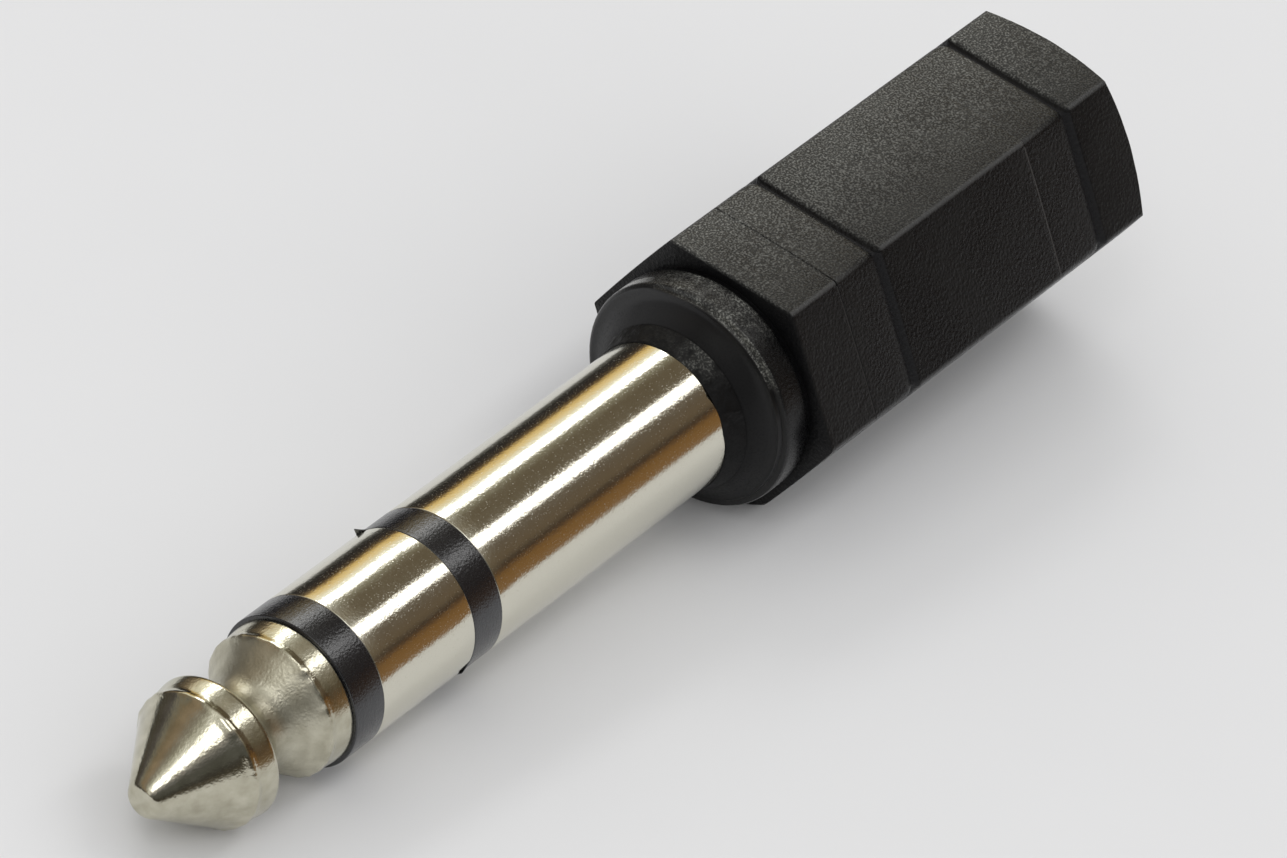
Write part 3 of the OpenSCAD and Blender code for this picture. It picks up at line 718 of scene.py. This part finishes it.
def hexagonLoops():
    a, front, corner, bandCorner = grip["apothem"], grip["front"], grip["corner"], grip["bandCorner"]
    loops = [bluntLoop(front + dx, a - drop, corner) for dx, drop in grip["frontEdge"]]
    for i in range(2):
        witness = front + grip["witness"] + i * grip["pitch"]
        groove = front + grip["groove"] + i * grip["pitch"] + grip["grooveShift"][i]
        deep = grip["witnessDepth"][i]
        for dx, drop, rounding in ((-0.30, 0, corner), (-0.05, 0, corner), (-0.02, deep, corner),
                                   (0.02, deep, bandCorner), (0.05, 0.002, bandCorner), (0.3, 0, bandCorner)):
            loops.append(hexLoop(witness + dx, a - drop, rounding))
        for dx, drop, rounding in grip["grooveSection"]:
            loops.append(hexLoop(groove + dx, a - drop, rounding))
        loops.append(hexLoop(groove + grip["grooveRear"], a, corner))
    bevel = grip["bevel"]
    bevelStart = grip["end"] - bevel["length"]
    limitStart = a / math.cos(math.pi / 6) - bevel["inset"]
    loops.append(hexLoop(bevelStart - bevel["lead"], a, corner))
    for k in range(bevel["steps"] + 1):
        part = k / bevel["steps"]
        limit = limitStart + (bevel["radius"] - limitStart) * part
        loops.append(hexLoop(bevelStart + bevel["length"] * part, a, corner, limit))
    return loops


def makeGrip():
    loops = [roundLoop(flash["start"], flash["bore"]), roundLoop(flash["start"], flash["radius"])]
    loops += [flashLoop(reach, radius) for reach, radius in flash["loops"]]
    loops += [roundLoop(x, r, ragged=uneven) for x, r, uneven in grip["boss"]]
    loops += [roundLoop(x, r, False, leftX, leftR) for x, r, leftX, leftR in grip["collar"]]
    loops += [roundLoop(x, r) for x, r in grip["collarRear"]]
    loops += hexagonLoops()
    loops += [roundLoop(x, r, notch) for x, r, notch in grip["hollow"]]
    size = len(loops[0])
    verts = [point for loop in loops for point in loop]
    faces = []
    for i in range(len(loops)):
        low, high = i * size, (i + 1) % len(loops) * size
        for k in range(size):
            n = (k + 1) % size
            faces.append((low + k, low + n, high + n, high + k))
    finishPiece("gripPiece", verts, faces, gripPlastic, "grip_body", grip["sharp"])


makeGrip()
print("grip made")


# Inside pieces keep the CAD shapes
insideLooks = {"sleeve_tag": brass, "ring_tag": brass, "tip_tag": brass, "socket_tag": brass,
               "sleeve_washer": washerBoard, "ring_washer": washerBoard, "socket_body": socketPlastic,
               "tip_spring": springMetal, "ring_spring": springMetal,
               "tip_link": wireMetal, "ring_link": wireMetal, "sleeve_link": wireMetal}
for nodeName, material in insideLooks.items():
    mesh = nodes[nodeName].data
    mesh.materials.clear()
    mesh.materials.append(material)
print("inside pieces dressed")


# Floor: a flat pale board. In reflections it ends at both sides, dark at the left and warm brown at the right,
# as the barrel shows. The ends are given as fades across the axis, in millimetres.

def makeFloor():
    board = {"radius": 1.5, "segments": 96, "colour": (0.75, 0.75, 0.755), "blotch": 0.985, "blotchSize": 14.0,
             "rough": 0.7, "gloss": 0.2, "left": (40.0, 0.08), "leftColour": (0.03, 0.03, 0.03),
             "right": (-80.0, -0.08), "rightFrom": 40.0, "rightColour": (0.24, 0.14, 0.06)}
    turns = [2 * math.pi * k / board["segments"] for k in range(board["segments"])]
    rim = [(board["radius"] * math.cos(a), board["radius"] * math.sin(a), 0) for a in turns]
    mesh = bpy.data.meshes.new("floor")
    mesh.from_pydata([(0, 0, 0)] + rim, [], [(0, k + 1, (k + 1) % len(rim) + 1) for k in range(len(rim))])
    material, tree, surface, place = newMaterial("pale board")
    cloud = placeBlotches(tree, place, board["blotchSize"])
    shade = mixColours(tree, cloud, board["colour"], [c * board["blotch"] for c in board["colour"]])
    x, y, _ = splitAxes(tree, place)
    mirrored = newNode(tree, "ShaderNodeLightPath").outputs["Is Glossy Ray"]
    pastLeft = product(tree, fadeIn(tree, y, *board["left"]), mirrored)
    shade = mixColours(tree, pastLeft, shade, board["leftColour"])
    pastRight = product(tree, fadeIn(tree, y, *board["right"]),
                        calc(tree, "GREATER_THAN", x, board["rightFrom"] * mm), mirrored)
    shade = mixColours(tree, pastRight, shade, board["rightColour"])
    setSockets(tree, surface, {"Base Color": shade, "Roughness": board["rough"],
                               "Specular IOR Level": board["gloss"]})
    mesh.materials.append(material)
    floor = bpy.data.objects.new("floor", mesh)
    bpy.context.scene.collection.objects.link(floor)


makeFloor()


# Lamps: long strips that run along X and face the adapter. lean: degrees from overhead, to the left; start and
# end: along X, in metres.
lamps = {
    "rightStripFar": {"lean": -19.3, "start": 0.12, "end": 1.15, "width": 0.26, "radiance": 2.6},
    "rightStripNear": {"lean": -13.5, "start": -1.0, "end": -0.5, "width": 0.44, "radiance": 2.6},
    "leftStrip": {"lean": 37.4, "start": 0.25, "end": 1.2, "width": 0.23, "radiance": 3.6},
}
lampHeight = 1.0


def addLamp(name, lean, start, end, width, radiance):
    light = bpy.data.lights.new(name, "AREA")
    light.shape = "RECTANGLE"
    light.size, light.size_y = end - start, width
    light.energy = radiance * math.pi * width * (end - start)
    lamp = bpy.data.objects.new(name, light)
    bpy.context.scene.collection.objects.link(lamp)
    lean = math.radians(lean)
    place = Matrix.Translation(((start + end) / 2, lampHeight * math.tan(lean), lampHeight))
    lamp.matrix_world = place @ Matrix.Rotation(-lean, 4, "X")


for lampName, lamp in lamps.items():
    addLamp(lampName, **lamp)


# Room round the adapter: ramps over the angle round the X axis, from the right horizon over the top to the
# left. Glossy rays see three of them that blend along X: the dark near end, the light middle and the warm far
# end. Other rays see a soft even light, darker at the horizons, and the camera sees a pale backdrop.
room = {
    "near": [(0.0, (0.17, 0.15, 0.12)), (0.02, (0.13, 0.115, 0.09)), (0.05, (0.075, 0.066, 0.052)),
             (0.09, (0.06, 0.056, 0.049)), (0.14, (0.11, 0.11, 0.10)), (0.22, (0.11, 0.11, 0.10)),
             (0.26, (0.16, 0.16, 0.16)), (0.31, (0.35, 0.33, 0.33)), (0.54, (0.95, 0.95, 0.9)),
             (0.575, (0.58, 0.57, 0.5)), (0.62, (0.40, 0.375, 0.33)), (0.66, (0.32, 0.29, 0.25)),
             (0.72, (0.33, 0.255, 0.18)), (0.78, (0.32, 0.25, 0.17)), (0.81, (0.25, 0.2, 0.14)),
             (0.845, (0.28, 0.26, 0.21)), (0.88, (0.175, 0.165, 0.15)), (0.91, (0.11, 0.10, 0.10)),
             (0.98, (0.09, 0.08, 0.065)), (1.0, (0.13, 0.12, 0.10))],
    "middle": [(0.0, (0.30, 0.24, 0.17)), (0.04, (0.20, 0.13, 0.07)), (0.12, (0.12, 0.08, 0.045)),
               (0.20, (0.17, 0.145, 0.10)), (0.28, (0.30, 0.27, 0.22)), (0.33, (0.50, 0.48, 0.44)),
               (0.48, (0.50, 0.48, 0.43)), (0.525, (0.38, 0.34, 0.27)), (0.61, (0.48, 0.46, 0.40)),
               (0.65, (0.80, 0.80, 0.75)), (0.76, (1.25, 1.2, 1.0)), (0.81, (1.1, 1.05, 0.9)),
               (0.845, (0.95, 0.85, 0.65)), (0.88, (0.32, 0.24, 0.16)), (0.93, (0.24, 0.19, 0.13)),
               (0.98, (0.12, 0.10, 0.08)), (1.0, (0.13, 0.10, 0.085))],
    "far": [(0.0, (0.25, 0.14, 0.06)), (0.09, (0.22, 0.115, 0.035)), (0.115, (0.17, 0.09, 0.035)),
            (0.135, (0.08, 0.045, 0.022)), (0.158, (0.055, 0.038, 0.025)), (0.18, (0.11, 0.08, 0.05)),
            (0.20, (0.14, 0.10, 0.06)), (0.30, (0.13, 0.10, 0.07)), (0.46, (0.14, 0.11, 0.07)),
            (0.60, (0.14, 0.11, 0.07)), (0.68, (0.3, 0.28, 0.2)), (0.73, (0.85, 0.85, 0.8)),
            (0.75, (1.02, 1.03, 0.95)), (0.794, (0.98, 0.80, 0.46)), (0.835, (0.90, 0.65, 0.26)),
            (0.85, (0.78, 0.54, 0.19)), (0.870, (0.24, 0.14, 0.055)), (0.885, (0.06, 0.04, 0.025)),
            (0.92, (0.034, 0.027, 0.023)), (1.0, (0.025, 0.024, 0.024))],
    "soft": [(0.0, 0.20), (0.04, 0.35), (0.10, 1.0), (0.18, 0.98), (0.3, 0.80), (0.5, 0.72), (0.7, 0.80),
             (0.85, 0.87), (0.92, 0.87), (0.97, 0.45), (1.0, 0.30)],
    "backdrop": (0.74, 0.745, 0.75),
    "toMiddle": (5.0, 0.0), "toFar": (8.0, -3.2),  # slope and offset over X of the ray's direction
}


def makeWorld():
    world = bpy.data.worlds.new("room")
    bpy.context.scene.world = world
    world.use_nodes = True
    tree = world.node_tree
    tree.nodes.clear()
    x, y, z = splitAxes(tree, newNode(tree, "ShaderNodeTexCoord").outputs["Generated"])
    turn = calc(tree, "MULTIPLY_ADD", calc(tree, "ARCTAN2", y, z), 1 / math.pi, 0.5, clamp=True)
    toMiddle = calc(tree, "MULTIPLY_ADD", x, *room["toMiddle"], clamp=True)
    toFar = calc(tree, "MULTIPLY_ADD", x, *room["toFar"], clamp=True)
    mirrored = mixColours(tree, toMiddle, ramp(tree, turn, room["near"]), ramp(tree, turn, room["middle"]))
    mirrored = mixColours(tree, toFar, mirrored, ramp(tree, turn, room["far"]))
    soft = ramp(tree, turn, [(place, (level, level, level)) for place, level in room["soft"]])
    path = newNode(tree, "ShaderNodeLightPath").outputs
    seen = mixColours(tree, path["Is Glossy Ray"], soft, mirrored)
    seen = mixColours(tree, path["Is Camera Ray"], seen, room["backdrop"])
    glow = newNode(tree, "ShaderNodeBackground", {"Color": seen, "Strength": 1.0})
    output = newNode(tree, "ShaderNodeOutputWorld")
    tree.links.new(glow.outputs[0], output.inputs["Surface"])


makeWorld()
print("stage made")


# Camera, fitted to the edges of the plug and the grip: place in millimetres, turn as a quaternion
view = {"place": (-232.944, -135.685, 212.657), "turn": (0.8217920, 0.3562373, -0.2625671, -0.3589030),
        "sensor": 36, "lens": 251.748, "clip": (0.01, 10)}
camera = bpy.data.objects.new("camera", bpy.data.cameras.new("camera"))
bpy.context.scene.collection.objects.link(camera)
camera.location = Vector(view["place"]) * mm
camera.rotation_mode = "QUATERNION"
camera.rotation_quaternion = Quaternion(view["turn"])
camera.data.sensor_width = view["sensor"]
camera.data.lens = view["lens"]
camera.data.clip_start, camera.data.clip_end = view["clip"]
bpy.context.scene.camera = camera
bpy.context.scene.view_settings.view_transform = "Standard"
